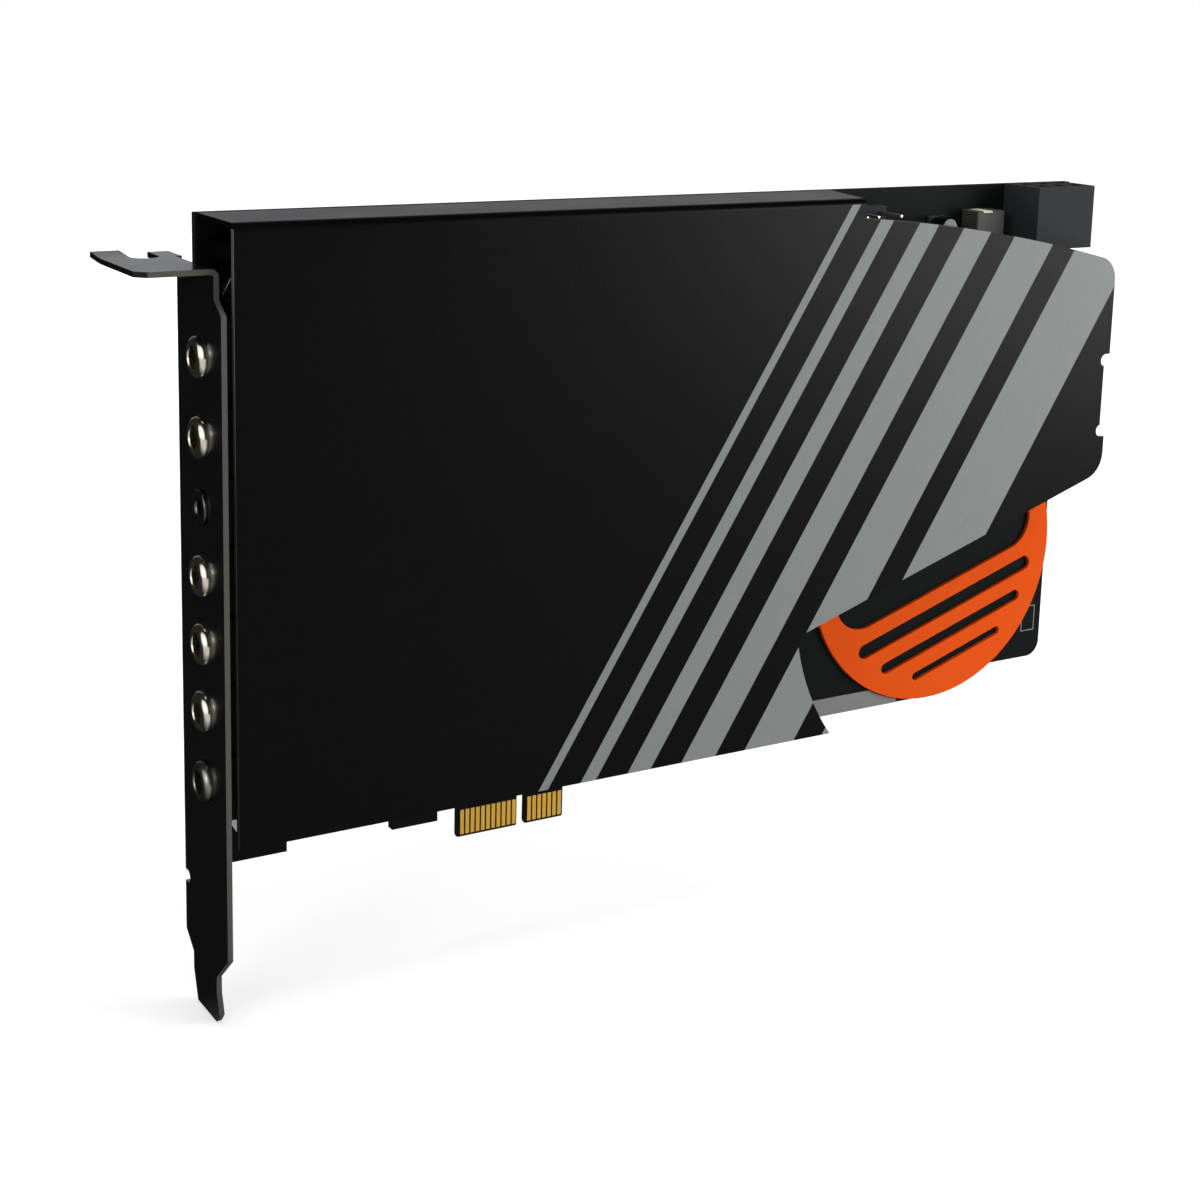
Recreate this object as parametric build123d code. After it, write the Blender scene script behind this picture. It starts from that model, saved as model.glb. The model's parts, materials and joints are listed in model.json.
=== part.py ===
from build123d import *
import math
import os

# A sound card for a short expansion slot, upright in its slot.
# X runs from the bracket along the card, Y from the component side through the board, Z up.
# The origin is the middle of the key notch, at the tips of the edge contacts, in the board's mid plane.
# All sizes are millimetres.

# Bracket
bracket_sheet = 0.86
bracket_width = 18.42
bracket_height = 120.02
bracket_to_key = 59.05
bracket_bend = 1.3
tab_above_jacks = 13.06
tab_depth = 11.43
tab_width = 21.59
tab_inset = 2.87
tab_corner = 1.6
inset_height = 4.6
inset_slope = 2.0
screw_slot_width = 4.42
screw_slot_depth = 7.2
screw_slot_reach = 2.5
prong_lift = 5.0
tongue_width = 10.19
tongue_offset = 5.0
tongue_length = 8.6
tongue_fold = 5.8
tongue_lean = 6.0
tip_chamfer = 1.9
front_shoulder = 4.6
back_shoulder = 2.7
edge_notch_radius = 1.0
edge_notch_depth = 2.0
edge_notch_height = 1.7
ear_height = 8.0
ear_joggle = 2.0
ear_from_jacks = 0.5
ear_screw_gap = 0.3
ear_edge = 3.4

# Circuit board
board_thickness = 1.57
board_to_front = 14.5
board_gap = 0.75
board_length = 176.6
board_above_jacks = 20.8
board_bottom = 9.2
board_low = 3.85
board_corner = 3.0
board_right_step = 4.4
low_block_length = 14.1
low_tab_start = 34.5
low_tab_length = 8.4
tongue_left = 11.2
tongue_right = 7.2
key_width = 1.9
key_depth = 7.6
tongue_bevel = 0.35
contact_count_left = 11
contact_count_right = 7
contact_pitch = 1.0
contact_width = 0.7
contact_length = 4.4
contact_lift = 0.55
contact_thickness = 0.06
contact_from_key = 0.55
strip_height = 3.4
strip_thickness = 0.1
strip_gap = 0.9
strip_to_plate = 0.2
strip_stops_short = 7.0

# Cover
cover_sheet = 0.8
cover_bend = 1.3
cover_setback = 0.0
cover_gap = 1.1
cover_length = 176.0
cover_bottom = 12.2
flange_length = 114.6
flange_slant = 3.0
flange_step = 3.4
slope_drop = 10.1
slope_crown = 1.35
slope_corner = 4.6
edge_angle = 18.2
edge_above_plate = 6.8
edge_corner = 5.0
cove_radius = 42.5
cove_corner = 2.0
lug_height = 69.1
lug_width = 11.1
lug_setback = 0.5
relief_radius = 1.2
relief_depth = 2.1

# Cover posts and screws
post_radius = 2.2
post_thread_radius = 1.3
post_thread_depth = 8.0
post_inset = 3.2
post_below_top = 5.6
post_above_bottom = 5.8
post_from_jacks = 6.5
post_from_cove = 10.0
post_from_right = 9.0
post_below_pins = 6.4
screw_radius = 1.25
screw_head_radius = 2.6
screw_head_height = 1.5
screw_hole_radius = 1.6
screw_bite = 5.0
recess_width = 0.7
recess_depth = 0.8

# Bracket screws and nuts
nut_radius = 2.9
nut_height = 2.0
nut_clearance = 0.06

# Round plate on the board
plate_radius = 28.6
plate_thickness = 0.8
plate_margin = 0.1
plate_rim = 3.4
slot_count = 4
slot_wide = 12.5
slot_narrow = 2.8
slot_taper = 0.6
slot_top = 5.5
slot_floor = 2.6

# Sockets in the bracket
jack_count = 7
small_jack = 3
jack_top_height = 87.3
jack_first_gap = 12.2
jack_pitch = 10.75
jack_last_gap = 11.4
jack_axis_height = 5.5
jack_body_gap = 0.7
jack_body_depth = 13.0
jack_body_height = 10.6
jack_plug_depth = 14.2
jack_cavity_play = 0.25
bushing_radius = 3.3
bushing_bore = 1.8
bushing_proud = 1.3
bushing_seat = 3.0
bushing_flare = 0.2
bushing_round = 1.15
bushing_play = 0.15
small_bushing_radius = 2.65
small_bushing_bore = 1.3
small_bushing_proud = 0.6
small_bushing_flare = 0.3
small_bushing_round = 0.35
terminal_width = 1.0
terminal_thickness = 0.4
terminal_count = 3
terminal_pitch = 3.4
terminal_first = 4.6
terminal_play = 0.1
terminal_touch = 0.3

# Power socket
power_pitch = 4.2
power_columns = 3
power_rows = 2
power_wall = 0.6
power_cell = 3.6
power_depth = 11.6
power_cell_depth = 9.4
power_above_top = 0.2
power_from_right = 2.6
power_pin = 1.0
power_pin_length = 6.9
power_pin_drop = 1.4

# Through pins and solder
pin_tail = 1.3
solder_radius = 1.05
solder_height = 0.8
solder_neck = 0.2
pin_hole_play = 0.1

# Pin header for the case's front sockets
header_pitch = 2.54
header_columns = 5
header_rows = 2
header_base = 2.5
header_pin = 0.64
header_pin_height = 8.4
header_from_flange = 1.2
header_below_top = 2.9
header_key_column = 3

# Parts on the board
amp_body = (3.9, 4.9, 1.5)
amp_count = 4
amp_from_jacks = 8.0
converter_body = (7.5, 10.0, 1.6)
converter_from_amps = 15.0
lead_pitch = 1.27
lead_width = 0.42
lead_reach = 1.1
lead_thickness = 0.2
chip_standoff = 0.15
processor_size = 14.0
processor_thickness = 1.2
processor_from_key = 22.0
processor_height = 38.0
can_count = 8
can_columns = 4
can_radius = 4.0
can_height = 11.5
can_pitch = 12.0
can_from_converters = 17.0
can_row_height = 66.0
can_bevel = 0.5
can_groove_depth = 0.35
can_groove_height = 2.0
can_lead_radius = 0.3
can_lead_pitch = 3.5
film_body = (7.2, 3.5, 7.0)
film_count = 2
film_pitch = 12.0
film_below_cans = 14.0
relay_body = (14.0, 9.0, 9.5)
relay_count = 2
relay_pitch = 17.0
relay_from_key = 26.0
relay_below_chips = 12.85
regulator_body = (6.5, 6.1, 2.3)
regulator_tab = (5.4, 3.0, 0.6)
regulator_count = 3
regulator_pitch = 12.0
regulator_from_flange = 14.0
regulator_below_top = 29.0
choke_body = (6.6, 9.0, 4.5)
choke_from_power = 3.4
choke_below_top = 4.4
small_can_radius = 1.7
small_can_height = 4.6
small_can_base = 0.8
small_can_base_size = 3.7
small_can_from_choke = 9.8
small_can_below_top = 7.2
resistor_body = (1.6, 0.8, 0.5)
resistor_columns = 4
resistor_rows = 6
resistor_pitch_x = 3.2
resistor_pitch_z = 2.4
resistor_from_processor = 13.0

# Planes that the sizes above give
face_front = -board_thickness / 2
face_back = board_thickness / 2
bracket_front = face_front - board_to_front
bracket_back = bracket_front + bracket_width
bracket_outer = -bracket_to_key
bracket_inner = bracket_outer + bracket_sheet
tab_underside = jack_top_height + tab_above_jacks
tab_top = tab_underside + bracket_sheet
bracket_tip = tab_top - bracket_height
board_top = jack_top_height + board_above_jacks
board_left = bracket_inner + board_gap
board_right = bracket_outer + board_length
cover_front = bracket_front + cover_setback
cover_inside = cover_front + cover_sheet
cover_left = bracket_inner + cover_gap
cover_right = bracket_outer + cover_length
cover_top = board_top
flange_end = cover_left + flange_length
plate_x = board_right - plate_radius - 2 * plate_margin
plate_z = board_bottom + plate_radius + plate_margin
jack_y = face_front - jack_axis_height
jack_back = bracket_inner + jack_body_depth
jack_body_width = jack_pitch - jack_body_gap
amp_x = jack_back + amp_from_jacks
converter_x = amp_x + converter_from_amps
can_x = converter_x + can_from_converters


# Shape helpers
def polygon(*points):
    """A flat face with straight sides."""
    return make_face(Polyline(*points, close=True))


def sheet_xz(outline, y_low, y_high):
    """An outline drawn across X and Z, made as thick as the stretch of Y."""
    return extrude(Plane.XZ.offset(-y_high) * outline, y_high - y_low)


def sheet_yz(outline, x_low, x_high):
    """An outline drawn across Y and Z, made as thick as the stretch of X."""
    return extrude(Plane.YZ.offset(x_low) * outline, x_high - x_low)


def sheet_xy(outline, z_low, z_high):
    """An outline drawn across X and Y, made as thick as the stretch of Z."""
    return extrude(Plane.XY.offset(z_low) * outline, z_high - z_low)


def block(x_low, x_high, y_low, y_high, z_low, z_high):
    """A box between two corners."""
    size = (x_high - x_low, y_high - y_low, z_high - z_low)
    middle = ((x_low + x_high) / 2, (y_low + y_high) / 2, (z_low + z_high) / 2)
    return Pos(*middle) * Box(*size)


def rod_x(y, z, radius, x_low, x_high):
    """A round bar along X."""
    return sheet_yz(Pos(y, z) * Circle(radius), x_low, x_high)


def rod_y(x, z, radius, y_low, y_high):
    """A round bar along Y."""
    return sheet_xz(Pos(x, z) * Circle(radius), y_low, y_high)


def round_corner(face, corner, radius):
    """Round the corner of a face that lies nearest to a point."""
    nearest = min(face.vertices(), key=lambda v: math.hypot(v.X - corner[0], v.Y - corner[1]))
    return fillet([nearest], radius)


def bend(radius, sheet):
    """The section of a quarter fold about its own centre, towards plus and plus."""
    ring = Circle(radius) - Circle(radius - sheet)
    return ring & Pos(radius / 2, radius / 2) * Rectangle(radius, radius)


def on_board(x, z, body):
    """A box of length, width and height that sits on the component side."""
    length, width, height = body
    across = (x - length / 2, x + length / 2)
    return block(*across, face_front - height, face_front, z - width / 2, z + width / 2)


def save(name, *shapes):
    """Write one sub-part, a single solid or a group of like solids."""
    solids = [solid for shape in shapes for solid in shape.solids()]
    whole = solids[0] if len(solids) == 1 else Compound(solids)
    export_step(whole, f"parts/{name}.step")


# Places that several sub-parts share
def jack_heights():
    """The heights of the socket axes, from the top one down."""
    heights = [jack_top_height, jack_top_height - jack_first_gap]
    while len(heights) < jack_count - 1:
        heights.append(heights[-1] - jack_pitch)
    heights.append(heights[-1] - jack_last_gap)
    return heights


def jack_sizes(number):
    """The bushing's outer radius, its bore's radius and how far it stands proud."""
    if number == small_jack:
        return small_bushing_radius, small_bushing_bore, small_bushing_proud
    return bushing_radius, bushing_bore, bushing_proud


def jack_rim(number):
    """The flare inside the bushing's mouth and the rounding round its outer rim."""
    if number == small_jack:
        return small_bushing_flare, small_bushing_round
    return bushing_flare, bushing_round


def terminal_places():
    """Where the sockets' terminals go through the board."""
    return [
        (bracket_inner + terminal_first + index * terminal_pitch, height)
        for height in jack_heights()
        for index in range(terminal_count)
    ]


def ear_screws():
    """Where the bracket's screws go through its ears and the board: above and below the row of sockets."""
    x = bracket_inner + 2 * ear_joggle + ear_screw_gap + screw_head_radius
    reach = jack_body_width / 2 + nut_radius + ear_from_jacks
    heights = jack_heights()
    return [(x, heights[0] + reach), (x, heights[-1] - reach)]


def edge_point(along):
    """A point of the cover's slanting lower edge, measured along it from beside the plate's centre."""
    angle = math.radians(edge_angle)
    x = plate_x - edge_above_plate * math.sin(angle) + along * math.cos(angle)
    z = plate_z + edge_above_plate * math.cos(angle) + along * math.sin(angle)
    return x, z


def cove_x(height):
    """The cove's edge at a height: an arc about the round plate's centre."""
    return plate_x - math.sqrt(cove_radius**2 - (plate_z - height) ** 2)


def posts():
    """The posts that carry the cover."""
    low = cover_bottom + post_above_bottom
    return [
        (cover_left + post_inset, cover_top - post_below_top),
        (jack_back + post_from_jacks, low),
        (cove_x(low) - post_from_cove, low),
        (cover_right - post_from_right, min(tail for x, y, tail in power_pins()) - post_below_pins),
    ]


def power_corner():
    """The power socket's left side and lower end."""
    width = power_columns * power_pitch + 2 * power_wall
    return board_right - power_from_right - width, board_top + power_above_top - power_depth


def power_pins():
    """Each power pin's place: across, away from the board, and its tail's height."""
    left, low = power_corner()
    places = []
    for row in range(power_rows):
        for column in range(power_columns):
            x = left + power_wall + (column + 0.5) * power_pitch
            y = face_front - power_wall - (row + 0.5) * power_pitch
            places.append((x, y, low - power_pin_drop - row * power_pitch))
    return places


def header_corner():
    """The pin header's left side and lower side."""
    return flange_end + header_from_flange, board_top - header_below_top - header_rows * header_pitch


def header_pins():
    """The header's pins, without the one left out as a key."""
    left, low = header_corner()
    return [
        (left + (column + 0.5) * header_pitch, low + (row + 0.5) * header_pitch)
        for row in range(header_rows)
        for column in range(header_columns)
        if (row, column) != (header_rows - 1, header_key_column)
    ]


def can_places():
    """The large capacitors, in rows on the board."""
    return [
        (can_x + (index % can_columns) * can_pitch, can_row_height + (index // can_columns) * can_pitch)
        for index in range(can_count)
    ]


def can_leads():
    """The two leads of each large capacitor."""
    return [(x + side * can_lead_pitch / 2, z) for x, z in can_places() for side in (-1, 1)]


def chip_sites():
    """The leaded chips: name, place and body."""
    heights = jack_heights()
    sites = [(f"op_amp_{index + 1}", amp_x, heights[index + 1], amp_body) for index in range(amp_count)]
    names = ("headphone_amplifier", "analogue_converter", "digital_converter")
    for index, name in enumerate(names):
        sites.append((name, converter_x, heights[2 * index], converter_body))
    return sites


# Bracket
def bracket_outline():
    """The strip seen along X: inset at its top, tapered to its tongue."""
    front = bracket_front
    tongue_front = front + tongue_offset
    tongue_back = tongue_front + tongue_width
    shoulder = bracket_tip + tongue_length
    top = tab_top - bracket_bend
    inset_end = tab_top - inset_height
    fold = bracket_tip + tongue_fold
    return polygon(
        (front + tab_inset, top),
        (front + tab_inset, inset_end),
        (front, inset_end - inset_slope),
        (front, shoulder + front_shoulder),
        (tongue_front, shoulder),
        (tongue_front, fold),
        (tongue_back, fold),
        (tongue_back, shoulder),
        (bracket_back, shoulder + back_shoulder),
        (bracket_back, top),
    )


def bracket_tongue():
    """The end of the strip's tongue, leaning inwards below its fold."""
    front = bracket_front + tongue_offset
    back = front + tongue_width
    fold = bracket_tip + tongue_fold
    outline = polygon(
        (front, fold),
        (front, bracket_tip + tip_chamfer),
        (front + tip_chamfer, bracket_tip),
        (back, bracket_tip),
        (back, fold),
    )
    flat = sheet_yz(outline, bracket_outer, bracket_inner)
    hinge = Axis((bracket_outer, 0, fold), (0, 1, 0))
    return flat.rotate(hinge, -tongue_lean)


def bracket_tab():
    """The screw tab, its open slot, and the outer prong that is pressed up a little."""
    near = bracket_front + tab_inset
    far = near + tab_width
    slot_inner = bracket_outer - screw_slot_reach
    slot_outer = slot_inner - screw_slot_width
    slot_end = far - screw_slot_depth + screw_slot_width / 2
    slot_bottom = far - screw_slot_depth
    fold = bracket_inner - bracket_bend
    outer = bracket_outer - tab_depth
    outline = polygon(
        (fold, near),
        (outer + tab_corner, near),
        (outer, near + tab_corner),
        (outer, slot_end),
        (slot_inner, slot_end),
        (slot_inner, far),
        (bracket_inner, far),
        (bracket_inner, bracket_back),
        (fold, bracket_back),
    )
    slot_x = (slot_inner + slot_outer) / 2
    outline -= Pos(slot_x, slot_end) * Circle(screw_slot_width / 2)
    tab = sheet_xy(outline, tab_underside, tab_top)
    prong = block(outer, slot_outer, slot_end, far, tab_underside, tab_top)
    hinge = Axis((0, slot_end, tab_underside), (1, 0, 0))
    return tab + prong.rotate(hinge, prong_lift)


def bracket_ear(x, z):
    """An ear folded off the strip's back edge and stepped onto the board's back, round its screw."""
    start = bracket_inner + ear_joggle
    step = start + ear_joggle
    end = x + ear_edge
    inside = bracket_back - bracket_sheet
    section = polygon(
        (bracket_outer, bracket_back),
        (start, bracket_back),
        (step, face_back + bracket_sheet),
        (end, face_back + bracket_sheet),
        (end, face_back),
        (step, face_back),
        (start, inside),
        (bracket_outer, inside),
    )
    return sheet_xy(section, z - ear_height / 2, z + ear_height / 2)


def make_bracket():
    outline = bracket_outline()
    for number, height in enumerate(jack_heights(), 1):
        radius = jack_sizes(number)[0]
        outline -= Pos(jack_y, height) * Circle(radius + bushing_play)
    notch_y = bracket_back - edge_notch_depth + edge_notch_radius
    notch_middle = (notch_y + bracket_back) / 2
    outline -= Pos(notch_y, edge_notch_height) * Circle(edge_notch_radius)
    outline -= Pos(notch_middle, edge_notch_height) * Rectangle(bracket_back - notch_y, 2 * edge_notch_radius)
    strip = sheet_yz(outline, bracket_outer, bracket_inner)
    fold = Pos(bracket_inner - bracket_bend, tab_top - bracket_bend) * bend(bracket_bend, bracket_sheet)
    body = strip + sheet_xz(fold, bracket_front + tab_inset, bracket_back)
    body = body + bracket_tab() + bracket_tongue()
    for x, z in ear_screws():
        body = body + bracket_ear(x, z)
        body = body - rod_y(x, z, screw_hole_radius, face_back, bracket_back)
    return body


# Circuit board
def board_outline():
    """The board seen from its component side."""
    block_end = board_left + low_block_length
    tab_start = bracket_outer + low_tab_start
    tab_end = tab_start + low_tab_length
    left = -key_width / 2 - tongue_left
    right = key_width / 2 + tongue_right
    step = board_bottom + board_right_step
    face = polygon(
        (board_left, board_low),
        (block_end, board_low),
        (block_end, board_bottom),
        (tab_start, board_bottom),
        (tab_start, board_low),
        (tab_end, board_low),
        (tab_end, board_bottom),
        (left, board_bottom),
        (left, 0),
        (right, 0),
        (right, board_bottom),
        (plate_x, board_bottom),
        (plate_x, step),
        (board_right, step),
        (board_right, board_top),
        (board_left, board_top),
    )
    face = round_corner(face, (board_right, step), board_corner)
    face = face + Pos(plate_x, plate_z) * Circle(plate_radius + plate_margin)
    face -= Pos(0, key_depth / 2) * Rectangle(key_width, key_depth)
    return face


def through_holes():
    """Every drilled hole: place and radius."""
    flat = math.hypot(terminal_width, terminal_thickness) / 2
    square = math.sqrt(2) / 2
    holes = [(x, z, flat) for x, z in terminal_places()]
    holes += [(x, tail, power_pin * square) for x, y, tail in power_pins()]
    holes += [(x, z, header_pin * square) for x, z in header_pins()]
    holes += [(x, z, can_lead_radius) for x, z in can_leads()]
    return holes


def make_board():
    face = board_outline()
    for x, z, radius in through_holes():
        face -= Pos(x, z) * Circle(radius + pin_hole_play)
    for x, z in posts() + ear_screws():
        face -= Pos(x, z) * Circle(screw_hole_radius)
    board = sheet_xz(face, face_front, face_back)
    left = -key_width / 2 - tongue_left
    right = key_width / 2 + tongue_right
    for side, surface in ((1, face_front), (-1, face_back)):
        wedge = polygon((surface, 0), (surface + side * tongue_bevel, 0), (surface, tongue_bevel))
        board = board - sheet_yz(wedge, left, right)
    return board


def make_contacts(surface, outwards):
    """The row of gold contacts on one face of the tongue."""
    first_left = -key_width / 2 - contact_from_key
    first_right = key_width / 2 + contact_from_key
    places = [first_left - index * contact_pitch for index in range(contact_count_left)]
    places += [first_right + index * contact_pitch for index in range(contact_count_right)]
    y_low, y_high = sorted((surface, surface + outwards * contact_thickness))
    top = contact_lift + contact_length
    half = contact_width / 2
    return [block(x - half, x + half, y_low, y_high, contact_lift, top) for x in places]


def make_ground_strip():
    """The bare tinned strip along the board's lower edge, from the tongue along the round plate's rim."""
    start = key_width / 2 + tongue_right + strip_gap
    end = plate_x - strip_stops_short
    top = board_bottom + strip_height
    strip = block(start, end, face_front - strip_thickness, face_front, board_bottom, top)
    return strip - rod_y(plate_x, plate_z, plate_radius + strip_to_plate, face_front - strip_thickness, face_front)


def make_round_plate():
    """The round plate, with straight slanting slots that narrow away from the cover's edge."""
    face = Circle(plate_radius)
    inner = plate_radius - plate_rim
    widths = [slot_wide] + [slot_narrow - index * slot_taper for index in range(slot_count - 1)]
    bar = (slot_top + inner - slot_floor - sum(widths)) / (slot_count - 1)
    top = slot_top
    for width in widths:
        bottom = top - width
        length = 2 * math.sqrt(inner**2 - max(abs(top), abs(bottom)) ** 2)
        face -= Rot(0, 0, edge_angle) * Pos(0, (top + bottom) / 2) * SlotOverall(length, width)
        top = bottom - bar
    return sheet_xz(Pos(plate_x, plate_z) * face, face_front - plate_thickness, face_front)


# Cover
def cover_outline():
    """The cover's front face, below the fold of its flange."""
    fold = cover_top - cover_bend
    slope_start = (flange_end, cover_top - flange_step)
    slope_end = (cover_right, cover_top - flange_step - slope_drop)
    slope_middle = ((slope_start[0] + slope_end[0]) / 2, (slope_start[1] + slope_end[1]) / 2 + slope_crown)
    inner = edge_point(-math.sqrt(cove_radius**2 - edge_above_plate**2))
    angle = math.radians(edge_angle)
    outer = edge_point((cover_right - plate_x + edge_above_plate * math.sin(angle)) / math.cos(angle))
    bottom = (cove_x(cover_bottom), cover_bottom)
    middle_height = (inner[1] + cover_bottom) / 2
    lines = [
        Line((cover_left, cover_bottom), bottom),
        ThreePointArc(bottom, (cove_x(middle_height), middle_height), inner),
        Line(inner, outer),
        Line(outer, slope_end),
        ThreePointArc(slope_end, slope_middle, slope_start),
        Line(slope_start, (flange_end, fold)),
        Line((flange_end, fold), (cover_left, fold)),
        Line((cover_left, fold), (cover_left, cover_bottom)),
    ]
    face = make_face(lines)
    face = round_corner(face, inner, cove_corner)
    face = round_corner(face, outer, edge_corner)
    return round_corner(face, slope_end, slope_corner)


def cover_lug():
    """The lug folded back from the cover's right end to the board."""
    outer = cover_right - lug_setback
    fold_x = outer - cover_bend
    fold_y = cover_front + cover_bend
    low = lug_height - lug_width / 2
    high = lug_height + lug_width / 2
    section = Pos(fold_x, fold_y) * Rot(0, 0, -90) * bend(cover_bend, cover_sheet)
    fold = sheet_xy(section, low, high)
    leg = block(outer - cover_sheet, outer, fold_y, face_front, low, high)
    return fold + leg


def make_cover():
    face = cover_outline()
    lug_outer = cover_right - lug_setback
    lug_fold = lug_outer - cover_bend
    past = cover_right + cover_bend
    face -= Pos((lug_fold + past) / 2, lug_height) * Rectangle(past - lug_fold, lug_width)
    relief_x = cover_right - relief_depth + relief_radius
    for side in (-1, 1):
        relief_z = lug_height + side * (lug_width / 2 + relief_radius)
        face -= Pos(relief_x, relief_z) * Circle(relief_radius)
        face -= Pos((relief_x + past) / 2, relief_z) * Rectangle(past - relief_x, 2 * relief_radius)
    front = sheet_xz(face, cover_front, cover_inside)
    fold_y = cover_front + cover_bend
    section = Pos(fold_y, cover_top - cover_bend) * Rot(0, 0, 90) * bend(cover_bend, cover_sheet)
    fold = sheet_yz(section, cover_left, flange_end)
    flange = sheet_xy(
        polygon(
            (cover_left, fold_y),
            (flange_end, fold_y),
            (flange_end + flange_slant, face_front),
            (cover_left, face_front),
        ),
        cover_top - cover_sheet,
        cover_top,
    )
    return front + fold + flange + cover_lug()


def make_post(x, z):
    """A post between the cover's inside and the board, threaded from the board's side."""
    post = rod_y(x, z, post_radius, cover_inside, face_front)
    return post - rod_y(x, z, post_thread_radius, face_front - post_thread_depth, face_front)


def make_screw(x, z, seat, length):
    """A screw from the back: a rounded head with a cross recess on its seat, and a shank."""
    head = rod_y(x, z, screw_head_radius, seat, seat + screw_head_height)
    rim = head.edges().filter_by(GeomType.CIRCLE).sort_by(Axis.Y)[-1]
    head = fillet([rim], screw_head_height / 2)
    cross_y = seat + screw_head_height
    reach = screw_head_radius / 2
    half = recess_width / 2
    depth = cross_y - recess_depth
    head -= block(x - reach, x + reach, depth, cross_y, z - half, z + half)
    head -= block(x - half, x + half, depth, cross_y, z - reach, z + reach)
    return head + rod_y(x, z, screw_radius, seat - length, seat)


def make_nut(x, z):
    """A six-sided nut on the component side."""
    face = Pos(x, z) * RegularPolygon(nut_radius, 6)
    face -= Pos(x, z) * Circle(screw_radius + nut_clearance)
    return sheet_xz(face, face_front - nut_height, face_front)


# Sockets in the bracket
def make_jack_body(number, height):
    """A moulded socket body on the board, behind the bracket."""
    radius, bore, proud = jack_sizes(number)
    half = jack_body_width / 2
    body = block(
        bracket_inner,
        jack_back,
        face_front - jack_body_height,
        face_front,
        height - half,
        height + half,
    )
    body -= rod_x(jack_y, height, radius + bushing_play, bracket_inner, bracket_inner + bushing_seat)
    cavity = bore + jack_cavity_play
    end = bracket_outer - proud + jack_plug_depth
    body -= rod_x(jack_y, height, cavity, bracket_inner, min(end, jack_back - jack_cavity_play))
    for x, z in terminal_places():
        if z == height:
            length = terminal_thickness / 2 + terminal_play
            width = terminal_width / 2 + terminal_play
            body -= block(x - length, x + length, jack_y, face_front, z - width, z + width)
    return body


def make_bushing(number, height):
    """The turned metal bushing of a socket, flared inside its mouth and rounded outside it."""
    radius, bore, proud = jack_sizes(number)
    flare, rim = jack_rim(number)
    mouth = bracket_outer - proud
    end = bracket_inner + bushing_seat
    turn = math.radians(45)
    shoulder = (mouth + rim - rim * math.cos(turn), radius - rim + rim * math.sin(turn))
    lines = [
        Line((mouth, bore + flare), (mouth, radius - rim)),
        ThreePointArc((mouth, radius - rim), shoulder, (mouth + rim, radius)),
        Line((mouth + rim, radius), (end, radius)),
        Line((end, radius), (end, bore)),
        Line((end, bore), (mouth + flare, bore)),
        Line((mouth + flare, bore), (mouth, bore + flare)),
    ]
    ring = revolve(Plane.XY * make_face(lines), Axis.X)
    return Pos(0, jack_y, height) * ring


def make_terminals():
    """The sockets' contact legs, from the plug's cavity through the board."""
    legs = []
    for number, height in enumerate(jack_heights(), 1):
        bore = jack_sizes(number)[1]
        top = jack_y + bore + jack_cavity_play - terminal_touch
        for x, z in terminal_places():
            if z == height:
                half = terminal_thickness / 2
                width = terminal_width / 2
                legs.append(block(x - half, x + half, top, face_back + pin_tail, z - width, z + width))
    return legs


# Power socket
def make_power_housing():
    """The six-way power socket, with one cell for each pin, open upwards."""
    left, low = power_corner()
    width = power_columns * power_pitch + 2 * power_wall
    depth = power_rows * power_pitch + 2 * power_wall
    top = low + power_depth
    body = block(left, left + width, face_front - depth, face_front, low, top)
    half = power_cell / 2
    for x, y, tail in power_pins():
        cell = block(x - half, x + half, y - half, y + half, top - power_cell_depth, top)
        pin = power_pin / 2 + pin_hole_play
        body = body - cell - block(x - pin, x + pin, y - pin, y + pin, low, top)
    return body


def make_power_pins():
    """The bent power pins: up into a cell, down behind the housing, then through the board."""
    left, low = power_corner()
    half = power_pin / 2
    pins = []
    for x, y, tail in power_pins():
        top = low + power_depth - power_cell_depth + power_pin_length
        upright = block(x - half, x + half, y - half, y + half, tail - half, top)
        end = face_back + pin_tail
        pins.append(upright + block(x - half, x + half, y - half, end, tail - half, tail + half))
    return pins


# Pin header
def make_header_base():
    left, low = header_corner()
    length = header_columns * header_pitch
    width = header_rows * header_pitch
    base = block(left, left + length, face_front - header_base, face_front, low, low + width)
    half = header_pin / 2 + pin_hole_play / 2
    for x, z in header_pins():
        base -= block(x - half, x + half, face_front - header_base, face_front, z - half, z + half)
    return base


def make_header_pins():
    half = header_pin / 2
    y_low = face_front - header_pin_height
    y_high = face_back + pin_tail
    return [block(x - half, x + half, y_low, y_high, z - half, z + half) for x, z in header_pins()]


# Parts on the board
def make_chip(x, z, body):
    """A moulded chip, held just off the board by its leads."""
    length, width, height = body
    y_high = face_front - chip_standoff
    return block(x - length / 2, x + length / 2, y_high - height, y_high, z - width / 2, z + width / 2)


def make_chip_leads(x, z, body):
    """The bent leads along both long sides of a chip."""
    length, width, height = body
    count = int(width / lead_pitch)
    shoulder = face_front - chip_standoff - height / 2
    leads = []
    for side in (-1, 1):
        near = x + side * length / 2
        knee = near + side * lead_reach / 2
        toe = near + side * lead_reach
        section = polygon(
            (near, shoulder),
            (knee + side * lead_thickness, shoulder),
            (knee + side * lead_thickness, face_front - lead_thickness),
            (toe, face_front - lead_thickness),
            (toe, face_front),
            (knee, face_front),
            (knee, shoulder + lead_thickness),
            (near, shoulder + lead_thickness),
        )
        for index in range(count):
            middle = z + (index - (count - 1) / 2) * lead_pitch
            leads.append(sheet_xy(section, middle - lead_width / 2, middle + lead_width / 2))
    return leads


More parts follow.
